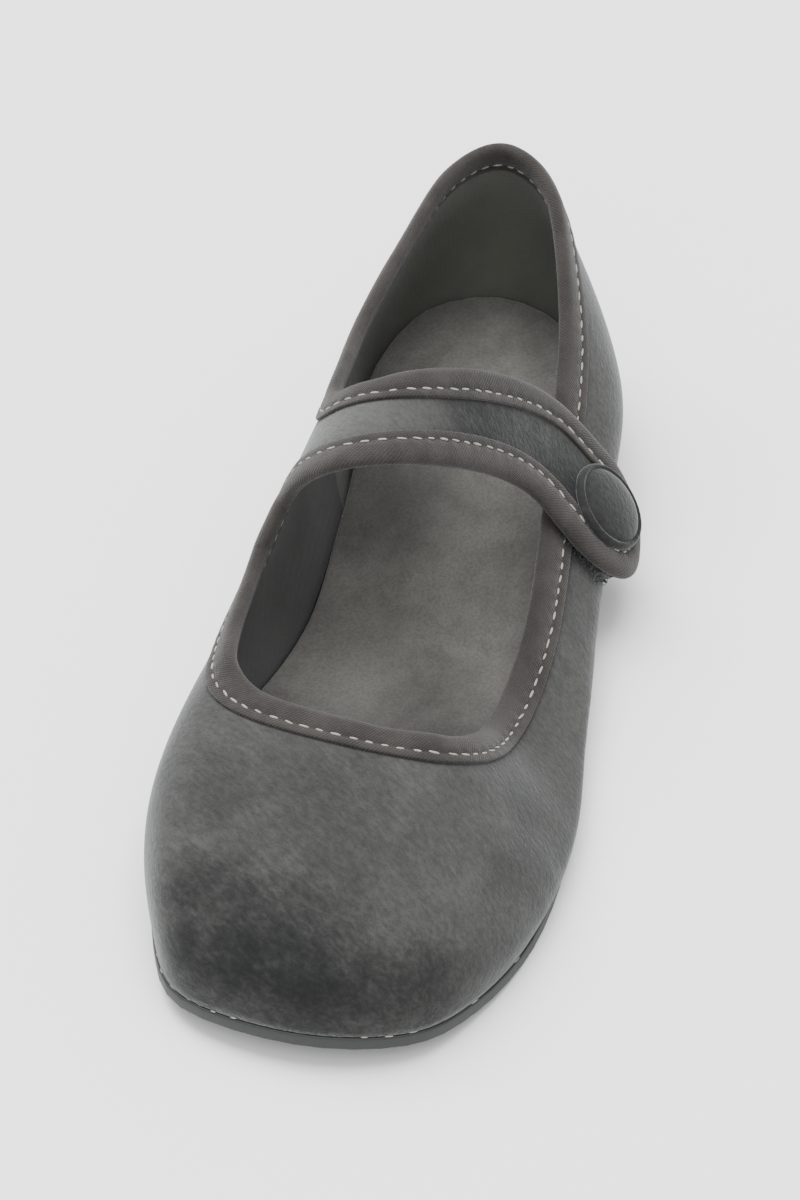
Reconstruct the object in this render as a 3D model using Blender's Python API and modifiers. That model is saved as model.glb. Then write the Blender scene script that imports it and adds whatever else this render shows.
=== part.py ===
"""Left ballet flat with a buttoned strap over the instep, standing empty on its sole.

X runs from heel to toe, Y towards the lateral side and Z up, in metres. The origin is the middle of
the heel's face on the floor. Every length below can be changed by itself.
"""

import math
from collections import namedtuple

import bmesh
import bpy
import numpy as np
from mathutils import Vector

# Driving sizes of the last and the sole
SHOE_LENGTH = 0.245
BALL_WIDTH = 0.084
BACK_HEIGHT = 0.046
STRAP_STAND = 0.022
STRAP_FALL = 0.024
CROWN_RISE = 0.042
CROWN_FORWARD = 0.038
SOLE_THICKNESS = 0.0034
HEEL_LIFT = 0.0068
HEEL_LENGTH = 0.060
HEEL_BREAST = 0.016
TOE_SPRING = 0.0060

# Materials and small parts
WALL = 0.0020
BINDING_WIDTH = 0.0065
BINDING_PROUD = 0.0005
INSOLE_THICKNESS = 0.0035
HEEL_PAD = 0.0080
SOLE_REVEAL = 0.0003
STRAP_HALF_WIDTH = 0.0074
TAB_HALF_WIDTH = 0.0088
STRAP_DROP = 0.0050
BUTTON_DIAMETER = 0.0172
BUTTON_HEIGHT = 0.0046
PATCH_THICKNESS = 0.0006
PATCH_GAP = 0.0005
PATCH_MARGIN = 0.0010
QUARTER_PATCH_WIDTH = 0.032
QUARTER_PATCH_DEPTH = 0.017
CLEARANCE = 0.0003

# Places along the sole, as shares of its length from the heel's back
HEEL_CENTRE = 0.125
SEAT_END = 0.16
TREAD_START = 0.53
TREAD_END = 0.77

# One row for each place round the shoe, from the heel's back by the lateral side, the toe and the
# medial side. cells is the number of mesh columns up to the next row. along and top_along are shares
# of SHOE_LENGTH from the heel's back, across and top_across of BALL_WIDTH, top_height of BACK_HEIGHT
# above the sole. belly and lean push the wall outwards low down and near the top, as shares of
# BALL_WIDTH, and rise and drop say how far up, as shares of the wall's height there.
Place = namedtuple(
    "Place", "name cells along across top_along top_across top_height belly rise lean drop"
)
PLACES = [
    Place("heel back", 3, 0.000, 0.000, 0.010, 0.010, 1.17, 0.085, 0.30, 0.090, 0.35),
    Place("lateral heel corner", 4, 0.040, 0.240, 0.048, 0.188, 1.07, 0.085, 0.30, 0.075, 0.35),
    Place("lateral heel", 4, 0.150, 0.370, 0.155, 0.315, 0.74, 0.135, 0.38, 0.105, 0.35),
    Place("lateral seat", 5, 0.265, 0.390, 0.262, 0.365, 0.52, 0.150, 0.42, 0.105, 0.35),
    Place("lateral waist", 5, 0.390, 0.425, 0.378, 0.400, 0.50, 0.150, 0.45, 0.100, 0.35),
    Place("lateral instep", 4, 0.500, 0.480, 0.490, 0.425, 0.42, 0.125, 0.45, 0.090, 0.35),
    Place("lateral throat", 4, 0.600, 0.535, 0.566, 0.415, 0.32, 0.095, 0.48, 0.100, 0.40),
    Place("lateral ball", 4, 0.710, 0.575, 0.632, 0.390, 0.33, 0.096, 0.48, 0.120, 0.40),
    Place("lateral little toe", 4, 0.820, 0.550, 0.690, 0.360, 0.48, 0.088, 0.50, 0.140, 0.35),
    Place("lateral toe", 4, 0.915, 0.455, 0.730, 0.275, 0.63, 0.066, 0.54, 0.190, 0.25),
    Place("lateral toe corner", 4, 0.977, 0.310, 0.739, 0.130, 0.67, 0.034, 0.72, 0.250, 0.15),
    Place("toe tip", 4, 1.000, 0.030, 0.742, -0.010, 0.71, 0.018, 0.80, 0.290, 0.12),
    Place("medial toe corner", 4, 0.972, -0.285, 0.733, -0.200, 0.72, 0.022, 0.80, 0.300, 0.15),
    Place("medial toe", 4, 0.897, -0.410, 0.711, -0.330, 0.69, 0.050, 0.65, 0.220, 0.25),
    Place("big toe", 4, 0.810, -0.462, 0.674, -0.405, 0.65, 0.075, 0.55, 0.120, 0.35),
    Place("medial ball", 4, 0.715, -0.465, 0.615, -0.425, 0.60, 0.050, 0.50, 0.080, 0.40),
    Place("medial throat", 4, 0.600, -0.410, 0.543, -0.415, 0.60, 0.060, 0.40, 0.050, 0.40),
    Place("medial corner", 4, 0.525, -0.348, 0.490, -0.386, 0.715, 0.085, 0.40, 0.035, 0.40),
    Place("strap front", 6, 0.455, -0.308, 0.457, -0.350, 0.885, 0.100, 0.40, 0.050, 0.35),
    Place("strap rear", 4, 0.360, -0.299, 0.354, -0.302, 0.955, 0.100, 0.38, 0.050, 0.35),
    Place("medial waist", 4, 0.302, -0.298, 0.302, -0.300, 0.900, 0.090, 0.36, 0.050, 0.35),
    Place("medial seat", 4, 0.240, -0.308, 0.240, -0.290, 0.90, 0.085, 0.32, 0.060, 0.35),
    Place("medial heel", 4, 0.140, -0.322, 0.150, -0.235, 1.00, 0.085, 0.30, 0.075, 0.35),
    Place("medial heel corner", 3, 0.040, -0.225, 0.055, -0.145, 1.14, 0.085, 0.30, 0.085, 0.35),
]
TABLE = np.array([place[2:] for place in PLACES])
TOE_TIP = [place.name for place in PLACES].index("toe tip")
STRAP_FRONT = [place.name for place in PLACES].index("strap front")
WALL_ROWS = 8
ROOT_SMOOTHING = 6
ROOT_REACH = 4

# Lines along the strap, as shares of its half width, and where its middle crosses the lateral edge,
# counted in table rows. Its edges leave the quarter's edge in a quarter turn over the root's share of
# its arch, and widen to the tab over the tab's share. Its middle leaves at a share of the root's width.
STRAP_SPREAD = [-math.cos(math.pi * i / 6) for i in range(7)]
STRAP_LANDS = 3.6
STRAP_SLANT = 0.3
ROOT_MIDDLE = 0.30
ROOT_SHARE = 0.18
TAB_SHARE = 0.5
ROOT_CROWDING = 0.4
ARCH_ROWS = 24
DROP_ROWS = 6


def closed_spline(u):
    """The values of the table at u rows from its first, on a smooth closed line through all rows."""
    knot = math.floor(u)
    t = u - knot
    before, here, after, beyond = (TABLE[(knot + k) % len(TABLE)] for k in (-1, 0, 1, 2))
    return (
        here * (2 * t**3 - 3 * t**2 + 1)
        + (after - before) / 2 * (t**3 - 2 * t**2 + t)
        + after * (3 * t**2 - 2 * t**3)
        + (beyond - here) / 2 * (t**3 - t**2)
    )


def smooth_step(start, end, value):
    share = min(max((value - start) / (end - start), 0.0), 1.0)
    return share * share * (3 - 2 * share)


def to_x(along):
    return (along - HEEL_CENTRE) * SHOE_LENGTH


def sole_under(x):
    """Height of the outsole's lower face: raised on the heel, then on the floor, sprung at the toe."""
    along = x / SHOE_LENGTH + HEEL_CENTRE
    raised = HEEL_LIFT * (1 - smooth_step(SEAT_END, TREAD_START, along))
    sprung = TOE_SPRING * (max(along - TREAD_END, 0.0) / (1 - TREAD_END)) ** 2
    return raised + sprung


def sole_over(x):
    return sole_under(x) + SOLE_THICKNESS


def feather(u):
    """The line where the upper meets the sole."""
    along, across = closed_spline(u)[:2]
    x = to_x(along)
    return Vector((x, across * BALL_WIDTH, sole_over(x) + CLEARANCE))


def outwards(u):
    """The level direction away from the shoe at u."""
    run = feather(u + 0.05) - feather(u - 0.05)
    return Vector((-run.y, run.x, 0)).normalized()


def wall_point(u, v):
    """A point of the upper's outer face: v runs from 0 at the sole to 1 at the binding."""
    _, _, top_along, top_across, top_height, belly, rise, lean, drop = closed_spline(u)
    foot = feather(u)
    x = to_x(top_along)
    top = Vector((x, top_across * BALL_WIDTH, sole_over(x) + top_height * BACK_HEIGHT))
    height = top.z - foot.z
    out = outwards(u)
    low = foot + out * belly * BALL_WIDTH + Vector((0, 0, rise * height))
    high = top + out * lean * BALL_WIDTH - Vector((0, 0, drop * height))
    return bezier([foot, low, high, top], v)


def bezier(controls, t):
    """The point at t on the Bezier curve with these controls."""
    while len(controls) > 1:
        controls = [here.lerp(after, t) for here, after in zip(controls, controls[1:])]
    return controls[0]


def wall_up(u):
    """The direction of the wall at its top edge."""
    return (wall_point(u, 1.0) - wall_point(u, 0.96)).normalized()


def on_quarter(forward, down, out):
    """A point by the lateral quarter, measured from where the strap's middle crosses its edge."""
    row_run = (wall_point(STRAP_LANDS + 0.5, 1) - wall_point(STRAP_LANDS - 0.5, 1)).length
    u = STRAP_LANDS + forward / row_run
    column_length = sum(
        (wall_point(u, (k + 1) / 8) - wall_point(u, k / 8)).length for k in range(8)
    )
    v = 1 - max(down, 0.0) / column_length
    around = wall_point(u + 0.05, v) - wall_point(u - 0.05, v)
    up = wall_point(u, v) - wall_point(u, v - 0.04)
    normal = up.cross(around).normalized()
    return wall_point(u, v) - up.normalized() * min(down, 0.0) + normal * out


def on_strap_end(forward, down, out):
    """The same for the strap's end, which runs down the quarter slanted towards the toe."""
    return on_quarter(forward + (down + BINDING_WIDTH) * STRAP_SLANT, down - forward * STRAP_SLANT, out)


def column_places():
    """The table position of each mesh column; those under the strap's root carry on its lines."""
    found = []
    for row, place in enumerate(PLACES):
        for k in range(place.cells):
            share = (1 + STRAP_SPREAD[k]) / 2 if row == STRAP_FRONT else k / place.cells
            found.append(row + share)
    return found


STRAP_OUT = WALL + 2 * PATCH_THICKNESS + 3 * PATCH_GAP


def strap_frame():
    """Controls of the strap's middle line over the instep, and its ways across at both ends."""
    root = STRAP_FRONT + ROOT_MIDDLE
    start = wall_point(root, 1)
    end = on_strap_end(0, -BINDING_WIDTH, STRAP_OUT)
    end_way = (end - on_strap_end(0, 0, STRAP_OUT)).normalized()
    low = start + wall_up(root) * STRAP_STAND
    crown = (start + end) / 2 + Vector((CROWN_FORWARD, 0, CROWN_RISE))
    high = end + end_way * STRAP_FALL
    across_start = (wall_point(STRAP_FRONT, 1) - wall_point(STRAP_FRONT + 1, 1)).normalized()
    across_end = on_strap_end(STRAP_HALF_WIDTH, -BINDING_WIDTH, STRAP_OUT) - end
    return [start, low, crown, high, end], across_start, across_end.normalized()


def strap_line(spread):
    """One lengthwise line of the strap's outer face, from the medial edge to the lateral tip."""
    curve, across_start, across_end = strap_frame()
    narrow = -spread * STRAP_HALF_WIDTH
    wide = -spread * TAB_HALF_WIDTH
    root_shift = wall_point(STRAP_FRONT + (1 + spread) / 2, 1) - curve[0] - across_start * narrow
    end_shift = on_strap_end(wide, -BINDING_WIDTH, STRAP_OUT) - curve[-1] - across_end * wide
    points = []
    for k in range(1, ARCH_ROWS + 1):
        t = ROOT_CROWDING * k / ARCH_ROWS + (1 - ROOT_CROWDING) * (k / ARCH_ROWS) ** 2
        across = across_start.lerp(across_end, t).normalized()
        to_root = max(1 - t / ROOT_SHARE, 0.0)
        root_share = 1 - math.sqrt(1 - to_root**2)
        end_share = max(1 - (1 - t) / TAB_SHARE, 0.0) ** 2
        side = narrow + (wide - narrow) * smooth_step(1 - TAB_SHARE, 1, t)
        middle = bezier(curve, t)
        points.append(middle + across * side + root_shift * root_share + end_shift * end_share)
    length = STRAP_DROP + TAB_HALF_WIDTH * math.sqrt(max(1 - spread * spread, 0.0))
    for k in range(1, DROP_ROWS + 1):
        down = -BINDING_WIDTH + (length + BINDING_WIDTH) * k / DROP_ROWS
        points.append(on_strap_end(wide, down, STRAP_OUT))
    return points


def material(name, colour, roughness):
    made = bpy.data.materials.new(name)
    made.use_nodes = True
    shader = made.node_tree.nodes["Principled BSDF"]
    shader.inputs["Base Color"].default_value = (*colour, 1)
    shader.inputs["Roughness"].default_value = roughness
    return made


def add_object(name, bm, finish, collection):
    """Makes the object of a finished bmesh, shaded smooth but for its edges."""
    bmesh.ops.recalc_face_normals(bm, faces=bm.faces)
    if bm.calc_volume(signed=True) < 0:
        bmesh.ops.reverse_faces(bm, faces=bm.faces)
    mesh = bpy.data.meshes.new(name)
    bm.to_mesh(mesh)
    bm.free()
    mesh.shade_smooth()
    mesh.set_sharp_from_angle(angle=math.radians(40))
    made = bpy.data.objects.new(name, mesh)
    made.data.materials.append(finish)
    collection.objects.link(made)
    return made


def edge_loop(start):
    """The vertices round the open edge through start, in order."""
    loop = [start]
    edge = next(e for e in start.link_edges if e.is_boundary)
    while edge.other_vert(loop[-1]) is not start:
        loop.append(edge.other_vert(loop[-1]))
        edge = next(e for e in loop[-1].link_edges if e.is_boundary and e is not edge)
    return loop


def round_roots(grid, lines, loop):
    """Rounds the edge where the strap leaves the quarter, and moves the faces beside it along."""
    points = [vert.co.copy() for vert in loop]
    bends = []
    for corner in (lines[0][0], lines[-1][0]):
        middle = loop.index(corner)
        bends += range(middle - ROOT_REACH, middle + ROOT_REACH + 1)
    for _ in range(ROOT_SMOOTHING):
        for i in bends:
            points[i] = points[i].lerp((points[i - 1] + points[(i + 1) % len(loop)]) / 2, 0.5)
    shift = {vert: point - vert.co for vert, point in zip(loop, points)}
    for row in range(len(lines[0])):
        first, last = shift[lines[0][row]], shift[lines[-1][row]]
        for line, spread in zip(lines[1:-1], STRAP_SPREAD[1:-1]):
            if line[row] not in shift:
                shift[line[row]] = first.lerp(last, (1 + spread) / 2)
    for column in grid:
        for row, vert in enumerate(column[:-1]):
            shift[vert] = shift[column[-1]] * (row / WALL_ROWS) ** 2
    for vert, move in shift.items():
        vert.co += move


def upper_sheet():
    """The outer face of the upper and its strap as an open sheet of quads."""
    bm = bmesh.new()
    places = column_places()
    rows = range(WALL_ROWS + 1)
    grid = [[bm.verts.new(wall_point(u, row / WALL_ROWS)) for row in rows] for u in places]
    for here, after in zip(grid, grid[1:] + grid[:1]):
        for row in range(WALL_ROWS):
            bm.faces.new((here[row], here[row + 1], after[row + 1], after[row]))
    first = places.index(STRAP_FRONT)
    lines = []
    for k, spread in enumerate(STRAP_SPREAD):
        lines.append([grid[first + k][WALL_ROWS]] + [bm.verts.new(p) for p in strap_line(spread)])
    for here, after in zip(lines, lines[1:]):
        for row in range(len(here) - 1):
            bm.faces.new((here[row], here[row + 1], after[row + 1], after[row]))
    start = grid[0][WALL_ROWS]
    round_roots(grid, lines, edge_loop(start))
    bm.normal_update()
    return bm, start


def build_upper(finish, collection):
    bm, _ = upper_sheet()
    upper = add_object("upper", bm, finish, collection)
    wall = upper.modifiers.new("Wall", "SOLIDIFY")
    wall.thickness = WALL
    wall.offset = -1
    wall.use_even_offset = True
    return upper


def build_binding(finish, collection):
    """The tape folded over the upper's edge, one ring round collar, throat and strap."""
    sheet, start = upper_sheet()
    loop = edge_loop(start)
    half = WALL / 2 + BINDING_PROUD
    near = CLEARANCE
    far = CLEARANCE + BINDING_WIDTH
    section = [
        (near, half),
        (near + (far - near) * 0.45, half),
        (far - half * 0.7, half * 0.95),
        (far - half * 0.2, half * 0.6),
        (far, 0.0),
        (far - half * 0.2, -half * 0.6),
        (far - half * 0.7, -half * 0.95),
        (near + (far - near) * 0.45, -half),
        (near, -half),
    ]
    bm = bmesh.new()
    rings = []
    for i, vert in enumerate(loop):
        run = (loop[(i + 1) % len(loop)].co - loop[i - 1].co).normalized()
        normal = (vert.normal - run * vert.normal.dot(run)).normalized()
        across = run.cross(normal)
        face_middle = vert.link_faces[0].calc_center_median()
        if across.dot(vert.co - face_middle) < 0:
            across.negate()
        middle = vert.co - normal * (WALL / 2)
        rings.append([bm.verts.new(middle + across * a + normal * b) for a, b in section])
    sheet.free()
    for here, after in zip(rings, rings[1:] + rings[:1]):
        for k in range(len(section)):
            m = (k + 1) % len(section)
            bm.faces.new((here[k], here[m], after[m], after[k]))
    return add_object("binding", bm, finish, collection)


def outline(inset):
    """The feather line moved inwards by inset, as level points round the shoe."""
    points = []
    for u in column_places():
        p = feather(u) - outwards(u) * inset
        points.append(Vector((p.x, p.y, 0)))
    return points


def slab(points, over, under, start_x, end_x):
    """A closed plate with the outline of points between two faces whose heights depend on x."""
    bm = bmesh.new()
    face = bm.faces.new([bm.verts.new(p) for p in points])
    bmesh.ops.recalc_face_normals(bm, faces=[face])
    stations = 24
    for k in range(stations + 1):
        cut_x = start_x + (end_x - start_x) * k / stations
        bmesh.ops.bisect_plane(
            bm,
            geom=bm.verts[:] + bm.edges[:] + bm.faces[:],
            plane_co=(cut_x, 0, 0),
            plane_no=(1, 0, 0),
            clear_outer=k == stations,
            clear_inner=k == 0,
        )
    top = bm.verts[:]
    bmesh.ops.solidify(bm, geom=bm.faces[:], thickness=SOLE_THICKNESS)
    chosen = set(top)
    for vert in bm.verts:
        vert.co.z = over(vert.co.x) if vert in chosen else under(vert.co.x)
    return bm


def build_outsole(finish, collection):
    bm = slab(outline(-SOLE_REVEAL), sole_over, sole_under, to_x(-0.05), to_x(1.05))
    return add_object("outsole", bm, finish, collection)


def build_heel(finish, collection):
    """The low block under the seat, its front sloped up to the waist."""
    front = to_x(0) + HEEL_LENGTH + HEEL_BREAST

    def over(x):
        return sole_under(x) - CLEARANCE

    def under(x):
        return smooth_step(front - HEEL_BREAST, front + 0.004, x) * over(x)

    bm = slab(outline(-SOLE_REVEAL), over, under, to_x(-0.05), front)
    return add_object("heel", bm, finish, collection)


def build_insole(finish, collection):
    def under(x):
        return sole_over(x) + CLEARANCE

    def over(x):
        along = x / SHOE_LENGTH + HEEL_CENTRE
        return under(x) + INSOLE_THICKNESS + HEEL_PAD * (1 - smooth_step(SEAT_END, TREAD_START, along))

    bm = slab(outline(WALL + CLEARANCE * 2), over, under, to_x(-0.05), to_x(1.05))
    return add_object("insole", bm, finish, collection)


def curved_pad(place, half_forward, half_down, centre, near, far, rounding):
    """An oval pad lying along the quarter, between two distances from its face."""
    bm = bmesh.new()
    bmesh.ops.create_circle(bm, cap_ends=True, segments=32, radius=1)
    for width in (0.12, 0.2, 0.2, 0.2):
        middle = max(bm.faces, key=lambda face: len(face.verts))
        bmesh.ops.inset_individual(bm, faces=[middle], thickness=width)
    bmesh.ops.solidify(bm, geom=bm.faces[:], thickness=1)
    for vert in bm.verts:
        upper_face = vert.co.z > -0.5
        edge = Vector(vert.co.xy).length
        out = far - (far - near) * rounding * edge**3 if upper_face else near
        forward = centre[0] + vert.co.x * half_forward
        vert.co = place(forward, centre[1] + vert.co.y * half_down, out)
    return bm


def build_button(finish, collection):
    radius = BUTTON_DIAMETER / 2
    near = STRAP_OUT + BINDING_PROUD + CLEARANCE * 3
    centre = (0, STRAP_DROP)
    bm = curved_pad(on_strap_end, radius, radius, centre, near, near + BUTTON_HEIGHT, 0.6)
    return add_object("button", bm, finish, collection)


def build_patches(finish, collection):
    """The two fastening patches, one on the quarter and one under the strap's end."""
    radius = STRAP_HALF_WIDTH - PATCH_MARGIN
    near = PATCH_GAP * 2 + PATCH_THICKNESS
    centre = (0, STRAP_DROP)
    bm = curved_pad(on_strap_end, radius, radius, centre, near, near + PATCH_THICKNESS, 0.0)
    add_object("strap_patch", bm, finish, collection)
    half = QUARTER_PATCH_WIDTH / 2
    drop = QUARTER_PATCH_DEPTH / 2
    near = PATCH_GAP
    centre = (STRAP_HALF_WIDTH * STRAP_SLANT, drop + PATCH_MARGIN)
    bm = curved_pad(on_quarter, half, drop, centre, near, near + PATCH_THICKNESS, 0.0)
    add_object("quarter_patch", bm, finish, collection)


def main():
    for old in list(bpy.data.objects):
        bpy.data.objects.remove(old)
    flat = bpy.data.collections.new("ballet_flat")
    bpy.context.scene.collection.children.link(flat)
    velvet = material("Grey velvet", (0.085, 0.085, 0.082), 0.85)
    tape = material("Taupe tape", (0.10, 0.092, 0.086), 0.9)
    rubber = material("Dark rubber", (0.020, 0.022, 0.020), 0.6)
    suede = material("Grey suede", (0.13, 0.13, 0.125), 0.9)
    hook = material("Dark fastening", (0.03, 0.03, 0.03), 0.95)
    build_outsole(rubber, flat)
    build_heel(rubber, flat)
    build_insole(suede, flat)
    build_upper(velvet, flat)
    build_binding(tape, flat)
    build_button(velvet, flat)
    build_patches(hook, flat)


main()
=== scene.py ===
"""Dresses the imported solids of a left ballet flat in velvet, with bound edges and a buttoned strap.

Run as a script, it builds the finished flat on a pale floor under soft light. All lengths are in
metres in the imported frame: X from heel to toe, Y towards the lateral side and Z up.
"""

import functools
import math
import random

import bmesh
import bpy
import numpy
from mathutils import Matrix, Vector
from mathutils.bvhtree import BVHTree


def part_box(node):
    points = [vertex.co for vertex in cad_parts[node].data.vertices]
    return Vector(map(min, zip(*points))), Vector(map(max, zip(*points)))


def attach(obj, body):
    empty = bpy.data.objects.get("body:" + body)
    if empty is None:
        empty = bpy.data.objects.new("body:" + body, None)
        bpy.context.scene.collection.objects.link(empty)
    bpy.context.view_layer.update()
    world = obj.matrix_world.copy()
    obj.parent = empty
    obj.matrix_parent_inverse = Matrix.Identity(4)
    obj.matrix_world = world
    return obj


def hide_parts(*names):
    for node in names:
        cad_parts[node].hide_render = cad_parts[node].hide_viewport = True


bl_info = {
    "name": "Velvet ballet flat",
    "version": (1, 0, 0),
    "blender": (4, 5, 0),
    "location": "View3D > Sidebar > Ballet flat",
    "description": "Velvet, tape, thread, suede and rubber for the packed ballet flat",
    "category": "Object",
}

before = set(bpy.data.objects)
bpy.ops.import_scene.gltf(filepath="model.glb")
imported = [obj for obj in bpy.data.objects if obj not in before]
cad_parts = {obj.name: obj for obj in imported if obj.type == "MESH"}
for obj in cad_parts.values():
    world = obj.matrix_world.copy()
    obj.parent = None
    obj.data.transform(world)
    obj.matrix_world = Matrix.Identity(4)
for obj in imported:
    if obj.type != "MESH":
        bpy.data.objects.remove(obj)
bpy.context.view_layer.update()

SHARP = math.radians(50)
WEAVE_MAP = "weave"

# How far the axis of the foot's space keeps from the insole's back, front and top
BACK_CLEARANCE = 0.030
FRONT_CLEARANCE = 0.035
TOP_CLEARANCE = 0.008

# How far across the edge the binding's skin is felt for, and how often its line is evened
EDGE_PROBE = 0.003
EVENING_ROUNDS = 3

# Grey of scuffs in patches over the rubber
SCUFFED_RUBBER = (0.085, 0.092, 0.088)

# Spacing of the lining's threads, and where its seam would meet the floor
LINING_PITCH = 0.0009
LINING_SEAM_X = 0.0500

AIM_AT = Vector((0.092, 0.0, 0.026))
CAMERA_PLACE = Vector((0.928, 0.176, 0.787))
CAMERA_LENS_MM = 150
SENSOR_WIDTH_MM = 36
SKY_STRENGTH = 0.96
FLOOR_GREY = 0.93

# Square lights that face the flat: name, place, width and watts
LIGHTS = (
    ("key light", (-0.4, -0.9, 1.5), 1.0, 26.0),
    ("front light", (1.3, 0.1, 1.3), 1.4, 13.0),
    ("top light", (-0.1, 0.0, 2.0), 1.4, 57.0),
)

# Place of the edge under the strap's end, where the tape's two ends meet out of sight
TAPE_SEAM = Vector((0.0500, 0.0317, 0.0299))

# Soiled and crushed places of the velvet: middle, reach along each axis and strength.
# A negative strength lightens the velvet instead, as painted sheen.
SMUDGES_AND_SHEEN = (
    ((0.2024, -0.0095, 0.0250), (0.012, 0.016, 0.011), 0.84),
    ((0.2090, 0.0060, 0.0190), (0.011, 0.026, 0.011), 0.84),
    ((0.2010, -0.0245, 0.0180), (0.010, 0.009, 0.010), 0.56),
    ((0.2070, -0.0140, 0.0170), (0.009, 0.016, 0.008), 0.52),
    ((0.1905, -0.0258, 0.0277), (0.006, 0.007, 0.006), 0.62),
    ((0.1934, -0.0152, 0.0288), (0.007, 0.008, 0.006), 0.66),
    ((0.2016, 0.0286, 0.0190), (0.009, 0.010, 0.008), 0.56),
    ((0.1970, 0.0050, 0.0270), (0.010, 0.014, 0.008), 0.32),
    ((0.1702, -0.0245, 0.0329), (0.011, 0.009, 0.009), 0.26),
    ((0.1725, 0.0030, 0.0333), (0.017, 0.012, 0.010), 0.22),
    ((0.1600, 0.0400, 0.0200), (0.020, 0.005, 0.009), 0.18),
    ((0.0650, 0.0150, 0.0560), (0.015, 0.010, 0.016), 0.86),
    ((0.0600, 0.0310, 0.0400), (0.019, 0.015, 0.018), 0.95),
    # Painted sheen: the strap's medial part, the low lateral side and the vamp's lateral side
    ((0.0740, -0.0160, 0.0620), (0.018, 0.016, 0.020), -0.90),
    ((0.0950, 0.0480, 0.0150), (0.060, 0.010, 0.016), -0.26),
    ((0.1650, 0.0300, 0.0270), (0.030, 0.016, 0.014), -0.07),
)

# Painted shade on the insole, under the strap and towards its front: middle, reach along each axis
# and strength
INSOLE_PAINTED_SHADE = (
    ((0.0480, -0.0100, 0.0165), (0.024, 0.026, 0.020), 1.00),
    ((0.0150, -0.0120, 0.0200), (0.014, 0.020, 0.020), 0.25),
    ((0.1350, 0.0050, 0.0110), (0.038, 0.042, 0.020), 1.00),
    ((0.1000, 0.0120, 0.0120), (0.016, 0.014, 0.020), 0.25),
)

# Half profile of the button, as shares of its radius and of its height: the dome, the groove
# round it, the raised rim and the foot
BUTTON_PROFILE = (
    (0.0, 0.70),
    (0.25, 0.685),
    (0.50, 0.63),
    (0.70, 0.54),
    (0.80, 0.46),
    (0.84, 0.37),
    (0.865, 0.36),
    (0.90, 0.43),
    (0.94, 0.42),
    (0.98, 0.33),
    (1.0, 0.22),
    (0.995, 0.10),
    (0.96, 0.0),
    (0.0, 0.0),
)
BUTTON_STEPS = 56

# Hook and loop patches: piece, its solid, how many tufts it has and what share of them strays
# forwards
PATCHES = (
    ("hook_patch", "strap_patch", 300, 0.0),
    ("loop_patch", "quarter_patch", 700, 0.45),
)
STRAP_FRINGE_TUFTS = 260

# Toe stitches: how far back they reach, the spacing of the places tried and the thread's width
TOE_STITCHES_FROM_X = 0.176
TOE_STEP = 0.0004
TOE_THREAD = 0.00034

# Soft creases of the upper: both ends, depth and half width. A negative depth is a ridge.
CREASES = (
    ((0.1480, -0.0390, 0.0150), (0.1530, -0.0120, 0.0380), 0.00035, 0.0042),
    ((0.1600, -0.0380, 0.0150), (0.1640, -0.0060, 0.0360), -0.00030, 0.0045),
    ((0.1480, 0.0470, 0.0130), (0.1580, 0.0260, 0.0330), 0.00045, 0.0045),
    ((0.1590, 0.0480, 0.0120), (0.1700, 0.0260, 0.0300), -0.00030, 0.0045),
    ((0.1690, 0.0460, 0.0120), (0.1830, 0.0180, 0.0290), 0.00025, 0.0040),
    ((0.1120, -0.0370, 0.0110), (0.1230, -0.0350, 0.0260), 0.00045, 0.0040),
    ((0.0980, -0.0330, 0.0120), (0.1050, -0.0310, 0.0300), -0.00035, 0.0045),
    ((0.0840, -0.0290, 0.0140), (0.0900, -0.0270, 0.0340), 0.00045, 0.0042),
    ((0.0600, -0.0290, 0.0160), (0.0720, -0.0250, 0.0400), 0.00040, 0.0045),
    ((0.1180, 0.0480, 0.0110), (0.1080, 0.0450, 0.0240), 0.00050, 0.0042),
    ((0.1010, 0.0450, 0.0120), (0.0930, 0.0420, 0.0250), -0.00035, 0.0040),
    ((0.0840, 0.0420, 0.0110), (0.0780, 0.0400, 0.0250), 0.00045, 0.0042),
    ((0.0260, 0.0330, 0.0160), (0.0300, 0.0320, 0.0340), 0.00040, 0.0045),
    ((0.0120, -0.0310, 0.0160), (0.0200, -0.0290, 0.0400), 0.00040, 0.0050),
    ((-0.0290, -0.0140, 0.0300), (-0.0310, 0.0150, 0.0260), 0.00035, 0.0045),
    ((-0.0280, -0.0120, 0.0440), (-0.0300, 0.0120, 0.0460), -0.00025, 0.0045),
    ((0.0660, 0.0070, 0.0620), (0.0800, 0.0090, 0.0590), 0.00035, 0.0028),
    ((0.0560, 0.0250, 0.0460), (0.0680, 0.0280, 0.0430), 0.00035, 0.0028),
)


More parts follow.
